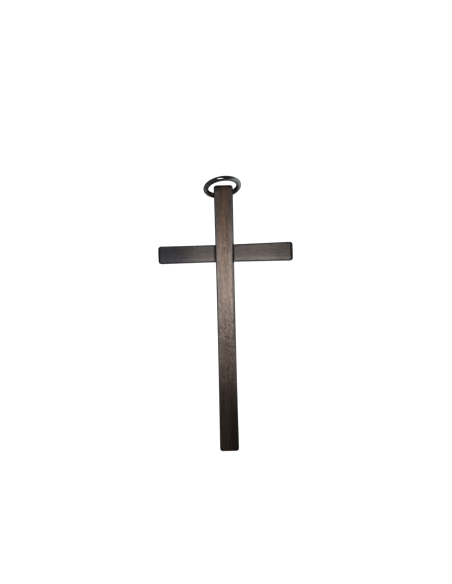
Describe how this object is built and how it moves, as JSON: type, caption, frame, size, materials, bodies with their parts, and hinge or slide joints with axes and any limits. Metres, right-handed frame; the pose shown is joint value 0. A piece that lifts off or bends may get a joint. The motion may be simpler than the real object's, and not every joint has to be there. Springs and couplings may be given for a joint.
{
  "type": "wooden cross with hanging ring",
  "caption": "Plain dark-stained wooden cross of halved, round-edged bars, with a polished metal ring through the top to hang it by.",
  "frame": {"origin": "on the back, in the middle of the crossing; the cross lies on its back", "axes": "+X along the crossbar to its right end seen from the front, +Y up the upright to the ring, +Z out of the front"},
  "size_m": [0.0508, 0.1027, 0.0145],
  "materials": {
    "upright_wood": "dark brown stain rubbed to a satin, open pores and straight grain along the bar",
    "crossbar_wood": "dark grey-brown stain rubbed to a satin, straight grain along the bar",
    "ring_metal": "polished dark nickel, lightly worn"
  },
  "bodies": {
    "cross": {"upright": "upright_wood", "crossbar": "crossbar_wood"},
    "ring": {"ring": "ring_metal"}
  },
  "joints": [
    {"name": "ring_swing", "type": "hinge", "parent": "cross", "child": "ring", "pos_m": [0, 0.0224, 0.00315], "axis": [0.9903, 0.1392, 0], "range_deg": [-218, 88]}
  ]
}
